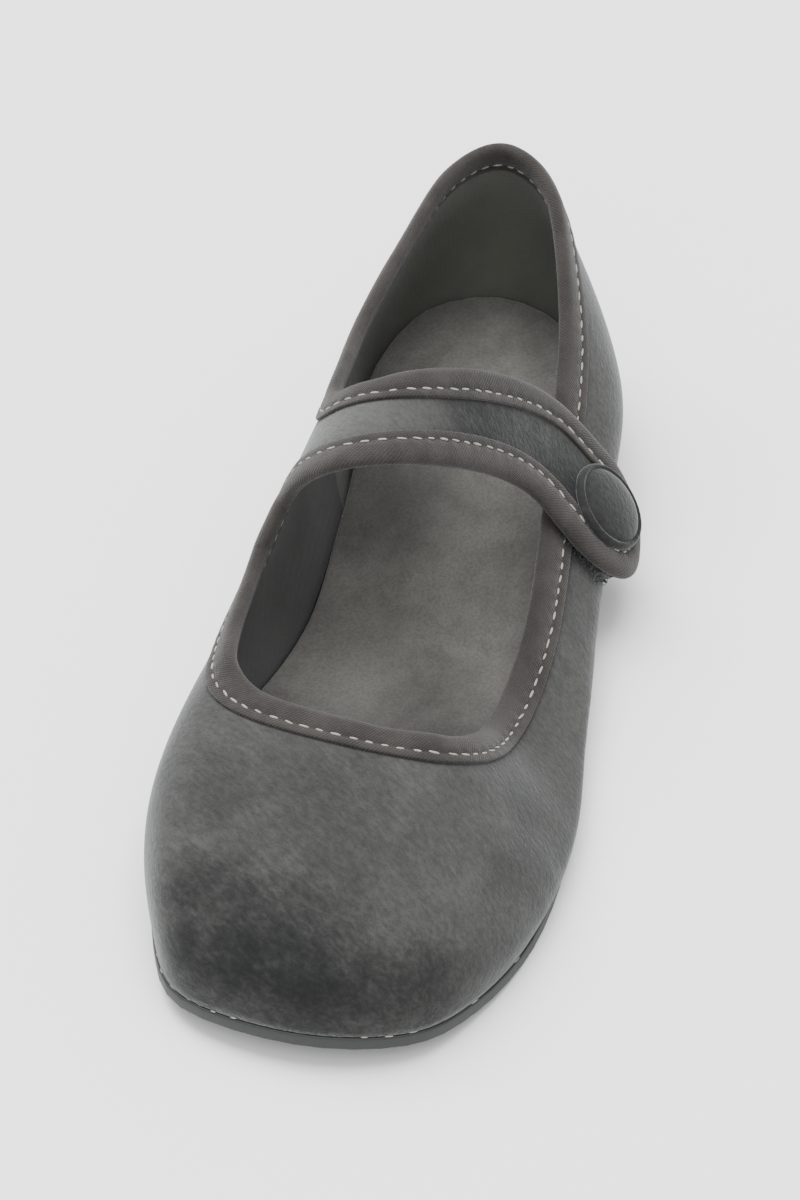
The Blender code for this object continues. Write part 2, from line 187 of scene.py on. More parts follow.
class FlatSizes(bpy.types.PropertyGroup):
    """Sizes of the flat's finish"""

    tape_lip: bpy.props.FloatProperty(
        name="Tape lip",
        description="How far the folded tape reaches over the velvet",
        default=0.0015,
        unit="LENGTH",
    )
    tape_width: bpy.props.FloatProperty(
        name="Tape width",
        description="Width of the tape from the velvet's edge to the opening",
        default=0.0068,
        unit="LENGTH",
    )
    tape_thickness: bpy.props.FloatProperty(
        name="Tape thickness",
        description="How far the tape stands above the velvet",
        default=0.0004,
        unit="LENGTH",
    )
    tape_pucker: bpy.props.FloatProperty(
        name="Tape pucker",
        description="How far each stitch draws the tape's edge in",
        default=0.00020,
        unit="LENGTH",
    )
    tape_step: bpy.props.FloatProperty(
        name="Tape step",
        description="Spacing of the tape's cross sections",
        default=0.0007,
        unit="LENGTH",
    )
    rib_pitch: bpy.props.FloatProperty(
        name="Rib pitch",
        description="Spacing of the diagonal ribs woven into the tape",
        default=0.0008,
        unit="LENGTH",
    )
    stitch_length: bpy.props.FloatProperty(
        name="Stitch length",
        description="Visible length of one stitch along the tape",
        default=0.0024,
        unit="LENGTH",
    )
    stitch_pitch: bpy.props.FloatProperty(
        name="Stitch pitch",
        description="Distance from one stitch to the next",
        default=0.0037,
        unit="LENGTH",
    )
    stitch_inset: bpy.props.FloatProperty(
        name="Stitch inset",
        description="Distance of the stitches from the tape's edge on the velvet",
        default=0.0023,
        unit="LENGTH",
    )
    thread_width: bpy.props.FloatProperty(
        name="Thread width",
        description="Width of the sewing thread",
        default=0.00058,
        unit="LENGTH",
    )
    tuft_fringe: bpy.props.FloatProperty(
        name="Tuft fringe",
        description="How far loose tufts show in front of the patches",
        default=0.0034,
        unit="LENGTH",
    )
    tuft_size: bpy.props.FloatProperty(
        name="Tuft size",
        description="Width of one loop of the hook and loop patches",
        default=0.0011,
        unit="LENGTH",
    )
    sole_bevel: bpy.props.FloatProperty(
        name="Sole bevel",
        description="Rounding of the rubber's edges",
        default=0.0005,
        unit="LENGTH",
    )
    insole_bevel: bpy.props.FloatProperty(
        name="Insole bevel",
        description="Rounding of the insole's edge",
        default=0.0011,
        unit="LENGTH",
    )


class FlatColours(bpy.types.PropertyGroup):
    """Colours of the flat's finish"""

    velvet: bpy.props.FloatVectorProperty(
        name="Velvet",
        description="Velvet with its pile standing up",
        default=(0.0500, 0.0508, 0.0485),
        subtype="COLOR",
    )
    # Lighter velvet of the painted sheen, used where a smudge's strength is negative
    painted_sheen_velvet: bpy.props.FloatVectorProperty(
        name="Painted sheen velvet",
        description="Velvet lightened where sheen is painted",
        default=(0.094, 0.095, 0.089),
        subtype="COLOR",
    )
    pressed_velvet: bpy.props.FloatVectorProperty(
        name="Pressed velvet",
        description="Velvet where the pile is brushed flat",
        default=(0.0075, 0.0082, 0.0080),
        subtype="COLOR",
    )
    tape: bpy.props.FloatVectorProperty(
        name="Tape",
        description="Woven tape round the edges",
        default=(0.0288, 0.0261, 0.0247),
        subtype="COLOR",
    )
    thread: bpy.props.FloatVectorProperty(
        name="Thread",
        description="Sewing thread",
        default=(0.27, 0.259, 0.225),
        subtype="COLOR",
    )
    insole: bpy.props.FloatVectorProperty(
        name="Insole",
        description="Suede of the insole",
        default=(0.092, 0.090, 0.083),
        subtype="COLOR",
    )
    lining: bpy.props.FloatVectorProperty(
        name="Lining",
        description="Cloth inside the upper",
        default=(0.100, 0.105, 0.088),
        subtype="COLOR",
    )
    front_lining: bpy.props.FloatVectorProperty(
        name="Front lining",
        description="Cloth inside the upper, in front of the heel's lining",
        default=(0.052, 0.054, 0.052),
        subtype="COLOR",
    )
    rubber: bpy.props.FloatVectorProperty(
        name="Rubber",
        description="Outsole and heel",
        default=(0.0125, 0.0140, 0.0138),
        subtype="COLOR",
    )
    fastening: bpy.props.FloatVectorProperty(
        name="Fastening",
        description="Hook and loop patches under the strap",
        default=(0.008, 0.0105, 0.0095),
        subtype="COLOR",
    )


class Term:
    """A socket in shader maths: expressions on it add Math nodes."""

    def __init__(self, finish, socket):
        self.finish = finish
        self.socket = socket

    def maths(self, operation, *values):
        return self.finish.node("Math", {"operation": operation}, dict(enumerate(values)))

    def __add__(self, other):
        return self.maths("ADD", self, other)

    def __radd__(self, other):
        return self.maths("ADD", other, self)

    def __sub__(self, other):
        return self.maths("SUBTRACT", self, other)

    def __rsub__(self, other):
        return self.maths("SUBTRACT", other, self)

    def __mul__(self, other):
        return self.maths("MULTIPLY", self, other)

    def __rmul__(self, other):
        return self.maths("MULTIPLY", other, self)

    def sine(self):
        return self.maths("SINE", self)

    def limited(self):
        """The value held between 0 and 1."""
        return self.finish.node("Clamp", {}, {0: self})


class Finish:
    """A material that is built node by node round its Principled shader."""

    def __init__(self, name, **constants):
        self.material = bpy.data.materials.new(name)
        self.material.use_nodes = True
        self.tree = self.material.node_tree
        self.shader = self.tree.nodes["Principled BSDF"]
        for socket, value in constants.items():
            self.shader.inputs[socket.replace("_", " ")].default_value = value

    def node(self, kind, settings, sockets, output=0):
        """Adds a node, makes its settings, then fills its sockets with values or links."""
        made = self.tree.nodes.new("ShaderNode" + kind)
        for setting, value in settings.items():
            setattr(made, setting, value)
        for socket, value in sockets.items():
            self.feed(made.inputs[socket], value)
        return Term(self, made.outputs[output])

    def feed(self, socket, value):
        if isinstance(value, Term):
            self.tree.links.new(value.socket, socket)
        else:
            socket.default_value = value

    def place(self):
        return self.node("TexCoord", {}, {}, "Object")

    def axis(self, place, letter):
        return self.node("SeparateXYZ", {}, {0: place}, letter)

    def noise(self, size, detail=2.0, roughness=0.5, distortion=0.0, at=None):
        """Noise whose features are about size metres across."""
        sockets = {
            "Vector": at or self.place(),
            "Scale": 1 / size,
            "Detail": detail,
            "Roughness": roughness,
            "Distortion": distortion,
        }
        return self.node("TexNoise", {}, sockets, "Fac")

    def streaks(self, length, width, turn, detail=2.0):
        """Noise drawn out along a level line that is turned from X."""
        settings = {"vector_type": "TEXTURE"}
        stretch = (length, width, width)
        sockets = {"Vector": self.place(), "Rotation": (0, 0, turn), "Scale": stretch}
        drawn = self.node("Mapping", settings, sockets, "Vector")
        return self.noise(1.0, detail, 0.6, 0.2, drawn)

    def multiplied(self, colour, shade):
        settings = {"data_type": "RGBA", "blend_type": "MULTIPLY"}
        return self.node("Mix", settings, {0: 1.0, 6: colour, 7: shade}, 2)

    def ramp(self, value, start, end):
        """The value's rise from start to end, stretched to 0 to 1 and eased."""
        settings = {"interpolation_type": "SMOOTHSTEP"}
        sockets = {"Value": value, "From Min": start, "From Max": end}
        return self.node("MapRange", settings, sockets, "Result")

    def mix(self, share, low, high):
        """Colours low and high mixed by share."""
        low, high = (c if isinstance(c, Term) else (*c, 1) for c in (low, high))
        return self.node("Mix", {"data_type": "RGBA"}, {0: share, 6: low, 7: high}, 2)

    def bump(self, height, depth, strength):
        sockets = {"Height": height, "Distance": depth, "Strength": strength}
        self.feed(self.shader.inputs["Normal"], self.node("Bump", {}, sockets, "Normal"))

    def colour(self, value):
        self.feed(self.shader.inputs["Base Color"], value)

    def roughness(self, value):
        self.feed(self.shader.inputs["Roughness"], value)


def darker(colour, share):
    return tuple(c * share for c in colour)


def distance_to(finish, centre, stretch):
    """Distance from a point, in units of stretch along each axis."""
    sockets = {"Vector": finish.place(), "Location": centre, "Scale": stretch}
    placed = finish.node("Mapping", {"vector_type": "TEXTURE"}, sockets, "Vector")
    return finish.node("VectorMath", {"operation": "LENGTH"}, {0: placed}, "Value")


def velvet_finish(name, colours, smudges_and_sheen):
    """Short pile velvet: brushed patches, smudges and painted sheen patches, a fine slanting grain
    and a soft sheen.
    """
    finish = Finish(
        name,
        Roughness=0.92,
        Sheen_Weight=0.37,
        Sheen_Roughness=0.38,
        Sheen_Tint=(0.80, 0.82, 0.84, 1),
        Specular_IOR_Level=0.12,
    )
    broad = finish.noise(0.030, 3.0, 0.55, 0.6)
    mottle = finish.noise(0.0075, 4.0, 0.62, 0.3)
    brush = finish.streaks(0.013, 0.0050, 0.9, 3.0)
    grain = finish.streaks(0.0024, 0.0011, 0.9)
    fibre = finish.noise(0.00045, 2.0, 0.7)
    crush_and_sheen = finish.ramp(broad * 0.45 + brush * 0.30 + mottle * 0.25, 0.62, 0.38) * 0.34
    # Positive strengths darken the pile into smudges, and negative ones lighten it as painted sheen
    for centre, reach, strength in smudges_and_sheen:
        ragged = distance_to(finish, centre, reach) + (mottle - 0.5) + (brush - 0.5) * 0.5
        patch = finish.ramp(ragged + (grain - 0.5) * 0.5, 1.60, -0.10) * strength
        crush_and_sheen = crush_and_sheen + (patch * (1 - crush_and_sheen) if strength > 0 else patch)
    pile = finish.mix(crush_and_sheen.limited(), colours.velvet, colours.pressed_velvet)
    pile = finish.mix((0 - crush_and_sheen).limited(), pile, colours.painted_sheen_velvet)
    speckle = finish.ramp(grain * 0.6 + fibre * 0.4, 0.28, 0.74)
    shade = finish.mix(speckle, (0.76, 0.76, 0.76), (1.26, 1.26, 1.26))
    finish.colour(finish.multiplied(pile, shade))
    finish.roughness(0.96 - crush_and_sheen.limited() * 0.18)
    finish.bump(grain * 0.9 + fibre * 0.5 + brush * 0.4 + mottle * 0.5, 0.00042, 0.5)
    return finish.material


def tape_finish(colours, sizes):
    """Twill tape, with ribs that run aslant to its length as its weave attribute places them."""
    finish = Finish(
        "tape", Roughness=0.92, Sheen_Weight=0.16, Sheen_Roughness=0.5, Specular_IOR_Level=0.12
    )
    weave_map = finish.node("Attribute", {"attribute_name": WEAVE_MAP}, {}, "Vector")
    along, across = (finish.axis(weave_map, letter) for letter in "XY")
    turn = math.tau / sizes.rib_pitch
    rib = ((along + across * 0.8) * turn).sine()
    pick = ((across - along * 0.25) * (turn * 1.7)).sine()
    cloud = finish.noise(0.011, 3.0, 0.6)
    fuzz = finish.noise(0.0006, 2.0, 0.6)
    worn = finish.ramp(cloud * 0.75 + fuzz * 0.25, 0.35, 0.65)
    surface_tone = finish.mix(worn, darker(colours.tape, 0.78), darker(colours.tape, 1.22))
    weave = finish.ramp(rib * 0.5 + 0.5, 0.0, 0.7)
    woven = finish.mix(weave * 0.7 + fuzz * 0.3, (0.82, 0.82, 0.83), (1.12, 1.12, 1.11))
    finish.colour(finish.multiplied(surface_tone, woven))
    finish.bump(rib * 0.35 + pick * 0.2 + fuzz * 1.3, 0.00012, 0.8)
    return finish.material


def thread_finish(colours):
    """Pale sewing thread, a little fuzzy."""
    finish = Finish("thread", Roughness=0.6, Sheen_Weight=0.2, Specular_IOR_Level=0.35)
    fuzz = finish.noise(0.0009, 2.0, 0.6)
    finish.colour(finish.mix(fuzz, darker(colours.thread, 0.62), darker(colours.thread, 1.25)))
    finish.bump(fuzz, 0.0001, 0.6)
    return finish.material


def suede_finish(colours):
    """Matt suede of the insole, a little polished where the foot stands, with painted shade under the
    strap and towards its front.
    """
    finish = Finish("suede", Roughness=0.9, Sheen_Weight=0.22, Specular_IOR_Level=0.2)
    cloud = finish.noise(0.03, 3.0, 0.6, 0.4)
    mottle = finish.noise(0.006, 3.0, 0.6)
    nap = finish.noise(0.0007, 2.0, 0.65)
    worn = finish.ramp(cloud * 0.65 + mottle * 0.35, 0.36, 0.64)
    surface_tone = finish.mix(worn, darker(colours.insole, 0.86), darker(colours.insole, 1.16))
    # Painted shade: dark clouds under the strap and towards the front, mixed into the suede's colour
    shade = 0
    for centre, reach, strength in INSOLE_PAINTED_SHADE:
        edge = distance_to(finish, centre, reach) + (cloud - 0.5) * 0.9
        shade = finish.ramp(edge, 1.5, 0.0) * strength + shade
    surface_tone = finish.mix(shade.limited(), surface_tone, darker(colours.insole, 0.30))
    napped = finish.mix(finish.ramp(nap, 0.3, 0.7), (0.84, 0.84, 0.84), (1.12, 1.12, 1.12))
    finish.colour(finish.multiplied(surface_tone, napped))
    finish.roughness(0.92 - worn * 0.12)
    finish.bump(nap * 0.6 + mottle * 0.5, 0.0002, 0.6)
    return finish.material


def lining_finish(colours):
    """Close woven lining cloth, lighter round the heel than in front of it."""
    finish = Finish("lining", Roughness=0.85, Sheen_Weight=0.15, Specular_IOR_Level=0.2)
    x, y, z = (finish.axis(finish.place(), letter) for letter in "XYZ")
    turn = math.tau / LINING_PITCH
    weave = (x * turn).sine() * (z * turn).sine() + (y * turn).sine() * 0.5
    cloud = finish.noise(0.02, 3.0, 0.6)
    nap = finish.noise(0.0008, 2.0, 0.6)
    front = finish.ramp(x + z * 0.5, LINING_SEAM_X, LINING_SEAM_X + 0.0007)
    surface_tone = finish.mix(front, colours.lining, colours.front_lining)
    finish.colour(finish.multiplied(surface_tone, finish.mix(cloud, (0.7, 0.7, 0.7), (1.3, 1.3, 1.3))))
    finish.bump(weave * 0.25 + nap * 0.7, 0.00015, 0.6)
    return finish.material


def rubber_finish(colours):
    """Moulded rubber, dull on its faces and scuffed in patches."""
    finish = Finish("rubber", Roughness=0.5, Specular_IOR_Level=0.4)
    cloud = finish.noise(0.012, 4.0, 0.6)
    pores = finish.noise(0.0005, 2.0, 0.6)
    scuff = finish.ramp(finish.noise(0.004, 4.0, 0.75, 1.2), 0.60, 0.72)
    base = finish.mix(cloud, darker(colours.rubber, 0.75), darker(colours.rubber, 1.35))
    finish.colour(finish.mix(scuff * 0.35, base, SCUFFED_RUBBER))
    finish.roughness(0.46 + cloud * 0.16 + scuff * 0.2)
    finish.bump(pores * 0.7 + scuff * 0.3, 0.00012, 0.6)
    return finish.material


def fastening_finish(colours):
    """Dark looped pile of the hook and loop patches."""
    finish = Finish("fastening", Roughness=0.6, Sheen_Weight=0.3, Specular_IOR_Level=0.4)
    tufts = finish.noise(0.0011, 3.0, 0.7)
    finish.colour(finish.mix(tufts, darker(colours.fastening, 0.6), darker(colours.fastening, 2.6)))
    finish.bump(tufts, 0.0006, 0.9)
    return finish.material


def merged(node):
    """A bmesh copy of a solid, with its loose triangles joined into one skin of quads."""
    bm = bmesh.new()
    bm.from_mesh(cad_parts[node].data)
    bmesh.ops.remove_doubles(bm, verts=bm.verts, dist=1e-6)
    bmesh.ops.join_triangles(
        bm,
        faces=bm.faces,
        angle_face_threshold=math.radians(30),
        angle_shape_threshold=math.radians(60),
    )
    bm.normal_update()
    return bm


def keep_corners(bm):
    """Creases the solid's sharp edges, so that subdividing keeps its wall."""
    crease = bm.edges.layers.float.new("crease_edge")
    for edge in bm.edges:
        if edge.calc_face_angle(0) > SHARP:
            edge[crease] = 1.0


def subdivided(bm):
    """The same skin after one round of subdivision, with its corners kept."""
    mesh = bpy.data.meshes.new("skin")
    bm.to_mesh(mesh)
    bm.free()
    skin = bpy.data.objects.new("skin", mesh)
    bpy.context.scene.collection.objects.link(skin)
    skin.modifiers.new("Subdivision", "SUBSURF").levels = 1
    seen = skin.evaluated_get(bpy.context.evaluated_depsgraph_get())
    finer = bmesh.new()
    finer.from_mesh(seen.to_mesh())
    seen.to_mesh_clear()
    bpy.data.objects.remove(skin)
    bpy.data.meshes.remove(mesh)
    old = finer.edges.layers.float.get("crease_edge")
    if old:
        finer.edges.layers.float.remove(old)
    finer.normal_update()
    return finer


def crease_softly(bm, lining):
    """Presses the creases into a skin, its lining moving with its velvet."""
    verts = list(bm.verts)
    places = numpy.array([vert.co for vert in verts])
    moves = numpy.zeros(len(verts))
    for start, end, depth, width in CREASES:
        start, way = numpy.array(start), numpy.array(end) - numpy.array(start)
        share = (places - start) @ way / (way @ way)
        nearest = start + numpy.clip(share, 0, 1)[:, None] * way
        gap = numpy.linalg.norm(places - nearest, axis=1)
        moves += depth * numpy.exp(-((gap / width) ** 2) - ((share - 0.5) / 0.55) ** 4)
    for vert, depth in zip(verts, moves):
        inside = any(face.material_index == lining for face in vert.link_faces)
        vert.co -= vert.normal * float(depth) * (-1 if inside else 1)


def finish_piece(name, bm, materials, nodes=(), levels=0):
    """Makes the piece of a finished bmesh, and hides the solids that it stands for."""
    mesh = bpy.data.meshes.new(name)
    bm.to_mesh(mesh)
    bm.free()
    mesh.shade_smooth()
    piece = bpy.data.objects.new(name, mesh)
    for material in materials:
        mesh.materials.append(material)
    bpy.context.scene.collection.objects.link(piece)
    if levels:
        subdivision = piece.modifiers.new("Subdivision", "SUBSURF")
        subdivision.levels = levels
        subdivision.render_levels = levels
    if nodes:
        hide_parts(*nodes)
    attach(piece, "root")
    return piece


def sharp_loops(bm):
    """The closed loops of a skin's sharp edges, each as its points in order."""
    sharp = {edge for edge in bm.edges if edge.calc_face_angle(0) > SHARP}
    loops = []
    while sharp:
        edge = min(sharp, key=lambda e: e.index)
        sharp.remove(edge)
        loop = [edge.verts[0], edge.verts[1]]
        while True:
            onward = [e for e in loop[-1].link_edges if e in sharp]
            if not onward:
                break
            sharp.remove(onward[0])
            loop.append(onward[0].other_vert(loop[-1]))
        loops.append([vert.co.copy() for vert in loop[:-1]])
    return sorted(loops, key=len, reverse=True)


def through(points, step, *followers):
    """Smooth closed lines with points every step or so along the first of the lists given."""
    made = [[] for _ in range(1 + len(followers))]
    count = len(points)
    for i in range(count):
        cells = max(1, round((points[(i + 1) % count] - points[i]).length / step))
        for line, values in zip(made, (points, *followers)):
            before, here, after, beyond = (values[k % count] for k in range(i - 1, i + 3))
            for k in range(cells):
                t = k / cells
                line.append(
                    here * (2 * t**3 - 3 * t**2 + 1)
                    + (after - before) / 2 * (t**3 - 2 * t**2 + t)
                    + after * (3 * t**2 - 2 * t**3)
                    + (beyond - here) / 2 * (t**3 - t**2)
                )
    return made


def evened(line, rounds):
    """The values of a closed line, each drawn towards its neighbours."""
    for _ in range(rounds):
        line = [line[k - 2] / 4 + line[k - 1] / 2 + line[k] / 4 for k in range(len(line))]
    return line[rounds:] + line[:rounds]


def paired(loop, other):
    """Each point of a loop with the nearest point of a loop that runs beside it."""
    count = len(other)
    start = min(range(count), key=lambda k: (other[k] - loop[0]).length)
    other = other[start:] + other[:start]
    if (other[1] - other[0]).dot(loop[1] - loop[0]) < 0:
        other = other[:1] + other[:0:-1]
    window = count // 12
    pairs = []
    for k, point in enumerate(loop):
        level = round(k * count / len(loop))
        beside = [other[j % count] for j in range(level - window, level + window + 1)]
        pairs.append((point, min(beside, key=lambda q: (q - point).length)))
    return pairs


@functools.cache
def edge_path(step):
    return EdgePath(step)


class EdgePath:
    """The upper's bound edge: places round it with their way along, across and outwards."""

    def __init__(self, step):
        bm = merged("binding")
        bm.edges.index_update()
        inner, outer = sorted(sharp_loops(bm)[:2], key=reach)
        middles, normals = [], []
        for point, other in paired(outer, inner):
            middles.append((point + other) / 2)
            normals.append(point - other)
        self.half = sum(n.length for n in normals) / len(normals) / 2
        start = min(range(len(middles)), key=lambda k: (middles[k] - TAPE_SEAM).length)
        middles, normals = (line[start:] + line[:start] for line in (middles, normals))
        lines = through(middles, step, [n.normalized() for n in normals])
        self.points, directions = (evened(line, EVENING_ROUNDS) for line in lines)
        skin = BVHTree.FromBMesh(bm)
        self.runs, self.normals, self.across, self.lengths = [], [], [], [0.0]
        count = len(self.points)
        for i, point in enumerate(self.points):
            run = (self.points[(i + 1) % count] - self.points[i - 1]).normalized()
            normal = directions[i] - run * directions[i].dot(run)
            normal.normalize()
            across = run.cross(normal)
            ahead = skin.find_nearest(point + across * EDGE_PROBE)[3]
            behind = skin.find_nearest(point - across * EDGE_PROBE)[3]
            if ahead > behind:
                across.negate()
            self.runs.append(run)
            self.normals.append(normal)
            self.across.append(across)
            gap = (self.points[(i + 1) % count] - point).length
            self.lengths.append(self.lengths[-1] + gap)
        bm.free()

    def frame(self, i):
        """Turns a section's across, outwards and along into the place at an index."""
        i %= len(self.points)
        turn = Matrix((self.across[i], self.normals[i], self.runs[i])).transposed().to_4x4()
        turn.translation = self.points[i]
        return turn

    def at(self, distance):
        """Index of the place at a distance along the edge."""
        low, high = 0, len(self.points) - 1
        while low < high:
            middle = (low + high + 1) // 2
            if self.lengths[middle] <= distance:
                low = middle
            else:
                high = middle - 1
        return low


@functools.cache
def insole_box():
    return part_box("insole")


def inside_point(point):
    """A point on the axis of the foot's space, level with a place on the shoe."""
    low, high = insole_box()
    x = min(max(point.x, low.x + BACK_CLEARANCE), high.x - FRONT_CLEARANCE)
    return Vector((x, 0.0, high.z + TOP_CLEARANCE))


def reach(loop):
    """A loop's mean distance from the axis of the foot's space."""
    return sum((p - inside_point(p)).length for p in loop) / len(loop)


def disc(node):
    """A round solid's middle, its way out of the shoe, its radius and its two heights."""
    bm = merged(node)
    points = numpy.array([vert.co for vert in bm.verts])
    bm.free()
    middle = Vector(points.mean(axis=0))
    ways = numpy.linalg.eigh(numpy.cov((points - middle).T))[1]
    for way in ways.T:
        spread = (points - middle) @ way
        middle += Vector(way) * (spread.max() + spread.min()) / 2
    axis = Vector(ways[:, 0])
    if axis.dot(middle - inside_point(middle)) < 0:
        axis.negate()
    heights = [axis.dot(Vector(p) - middle) for p in points]
    radius = max(abs((points - middle) @ way).max() for way in ways.T[1:])
    return middle, axis, radius, min(heights), max(heights)


class FLAT_OT_stage(bpy.types.Operator):
    """Puts the flat on a pale floor under soft light, seen from the front of its left side"""

    bl_idname = "flat.stage"
    bl_label = "Stage"

    def execute(self, context):
        bm = bmesh.new()
        bmesh.ops.create_grid(bm, x_segments=8, y_segments=8, size=4.0)
        mesh = bpy.data.meshes.new("floor")
        bm.to_mesh(mesh)
        bm.free()
        floor = bpy.data.objects.new("floor", mesh)
        paper = Finish("paper", Roughness=0.9, Specular_IOR_Level=0.1)
        paper.shader.inputs["Base Color"].default_value = (FLOOR_GREY, FLOOR_GREY, FLOOR_GREY, 1)
        mesh.materials.append(paper.material)
        context.scene.collection.objects.link(floor)
        for name, place, size, watts in LIGHTS:
            lamp = bpy.data.lights.new(name, "AREA")
            lamp.size = size
            lamp.energy = watts
            light = bpy.data.objects.new(name, lamp)
            light.location = place
            light.rotation_euler = (AIM_AT - Vector(place)).to_track_quat("-Z", "Y").to_euler()
            context.scene.collection.objects.link(light)
        world = bpy.data.worlds.new("studio")
        world.use_nodes = True
        sky = world.node_tree.nodes["Background"]
        sky.inputs["Color"].default_value = (1, 1, 1, 1)
        sky.inputs["Strength"].default_value = SKY_STRENGTH
        context.scene.world = world
        camera = bpy.data.objects.new("camera", bpy.data.cameras.new("camera"))
        camera.data.lens = CAMERA_LENS_MM
        camera.data.sensor_width = SENSOR_WIDTH_MM
        camera.data.clip_end = 20
        camera.location = CAMERA_PLACE
        way = AIM_AT - CAMERA_PLACE
        camera.rotation_euler = way.to_track_quat("-Z", "Y").to_euler()
        context.scene.collection.objects.link(camera)
        context.scene.camera = camera
        return {"FINISHED"}


class FLAT_OT_upper(bpy.types.Operator):
    """Covers the upper with velvet outside and lining cloth inside, and creases it softly"""

    bl_idname = "flat.upper"
    bl_label = "Upper"

    def execute(self, context):
        colours = context.scene.flat_colours
        bm = merged("upper")
        keep_corners(bm)
        for face in bm.faces:
            middle = face.calc_center_median()
            face.material_index = 0 if face.normal.dot(middle - inside_point(middle)) > 0 else 1
        bm = subdivided(bm)
        crease_softly(bm, lining=1)
        keep_corners(bm)
        materials = [velvet_finish("velvet", colours, SMUDGES_AND_SHEEN), lining_finish(colours)]
        finish_piece("velvet_upper", bm, materials, ["upper"], levels=1)
        return {"FINISHED"}


class FLAT_OT_tape(bpy.types.Operator):
    """Folds the woven tape over the upper's edge"""

    bl_idname = "flat.tape"
    bl_label = "Tape"

    def execute(self, context):
        sizes = context.scene.flat_sizes
        path = edge_path(sizes.tape_step)
        section = self.section(sizes, path.half)
        bm = bmesh.new()
        along = bm.verts.layers.float.new("along")
        corner = bm.verts.layers.int.new("corner")
        self.sweep(bm, path, section, along, corner)
        self.pucker(bm, path, section, sizes, along, corner)
        self.place_weave(bm, section, along, corner)
        tape = tape_finish(context.scene.flat_colours, sizes)
        finish_piece("edge_tape", bm, [tape], ["binding"])
        return {"FINISHED"}

    def section(self, sizes, half):
        """The folded tape's outline, as pairs: away from the velvet's edge, and outwards.

        From the lip on the velvet it dips at the stitches and then rounds over at the opening,
        and it is the same on its inner side.
        """
        rise = sizes.tape_thickness
        lip, seam, edge = -sizes.tape_lip, sizes.stitch_inset - sizes.tape_lip, sizes.tape_width
        outer = [
            (lip + 0.0002, half - 0.0006),
            (lip, half),
            (lip + 0.00012, half + rise * 0.75),
            (lip + 0.0004, half + rise),
            (seam - 0.00055, half + rise * 0.95),
            (seam - 0.0002, half + rise * 0.35),
            (seam + 0.0002, half + rise * 0.35),
            (seam + 0.00055, half + rise * 0.95),
            (edge * 0.42, half + rise),
            (edge * 0.56, half + rise * 0.95),
            (edge - half * 1.3, half + rise * 0.8),
            (edge - half * 0.85, half + rise * 0.2),
            (edge - half * 0.5, half * 0.86),
            (edge - half * 0.2, half * 0.6),
            (edge - half * 0.04, half * 0.3),
        ]
        return [*outer, (edge, 0.0), *((a, -b) for a, b in reversed(outer))]

    def sweep(self, bm, path, section, along, corner):
        """Extrudes the section all the way round the edge, and closes the ring."""
        first = []
        for k, (a, b) in enumerate(section):
            vert = bm.verts.new(path.frame(0) @ Vector((a, b, 0.0)))
            vert[corner] = k
            first.append(vert)
        rim = [bm.edges.new(pair) for pair in zip(first, first[1:] + first[:1])]
        for i in range(1, len(path.points) + 1):
            made = bmesh.ops.extrude_edge_only(bm, edges=rim)["geom"]
            verts = {part for part in made if isinstance(part, bmesh.types.BMVert)}
            rim = [
                part
                for part in made
                if isinstance(part, bmesh.types.BMEdge) and verts.issuperset(part.verts)
            ]
            for vert in verts:
                vert.co = path.frame(i) @ Vector((*section[vert[corner]], 0.0))
                vert[along] = path.lengths[i]
        for vert in verts:
            vert[along] = 0.0
        bmesh.ops.remove_doubles(bm, verts=first + list(verts), dist=1e-5)
        bmesh.ops.recalc_face_normals(bm, faces=bm.faces)

    def pucker(self, bm, path, section, sizes, along, corner):
        """Draws the tape in where a stitch goes down, and lets it rise between two."""
        total = path.lengths[-1]
        count = round(total / sizes.stitch_pitch)
        seam = sizes.stitch_inset - sizes.tape_lip
        for vert in bm.verts:
            a, b = section[vert[corner]]
            near = 1 - abs(a - seam) / sizes.stitch_inset
            if near > 0:
                i = path.at(vert[along])
                pull = 0.5 - 0.5 * math.cos(math.tau * vert[along] * count / total)
                pull *= near * sizes.tape_pucker
                vert.co += path.across[i] * pull - path.normals[i] * math.copysign(pull, b)

    def place_weave(self, bm, section, along, corner):
        """Keeps each place's distance along and round the tape, for its weave to follow."""
        girth = [0.0]
        for (a, b), (c, d) in zip(section, section[1:]):
            girth.append(girth[-1] + math.hypot(c - a, d - b))
        weave = bm.verts.layers.float_vector.new(WEAVE_MAP)
        for vert in bm.verts:
            vert[weave] = (vert[along], girth[vert[corner]], 0.0)


def bead_mesh():
    """A bead of thread one metre long and wide, along Z, blunt at its ends."""
    bm = bmesh.new()
    bmesh.ops.create_uvsphere(bm, u_segments=8, v_segments=6, radius=0.5)
    for vert in bm.verts:
        vert.co.z = math.copysign(0.5 * abs(2 * vert.co.z) ** 0.8, vert.co.z)
    mesh = bpy.data.meshes.new("bead")
    bm.to_mesh(mesh)
    bm.free()
    return mesh


def add_stitch(bm, bead, place, run, normal, length, width):
    """One stitch: a flattened bead of thread that dips in at both ends."""
    run = (run - normal * run.dot(normal)).normalized()
    turn = Matrix((normal.cross(run), normal, run)).transposed().to_4x4()
    turn.translation = place
    turn @= Matrix.Diagonal((width, width * 0.84, length, 1))
    start = len(bm.verts)
    bm.from_mesh(bead)
    bm.verts.ensure_lookup_table()
    for vert in bm.verts[start:]:
        vert.co = turn @ vert.co


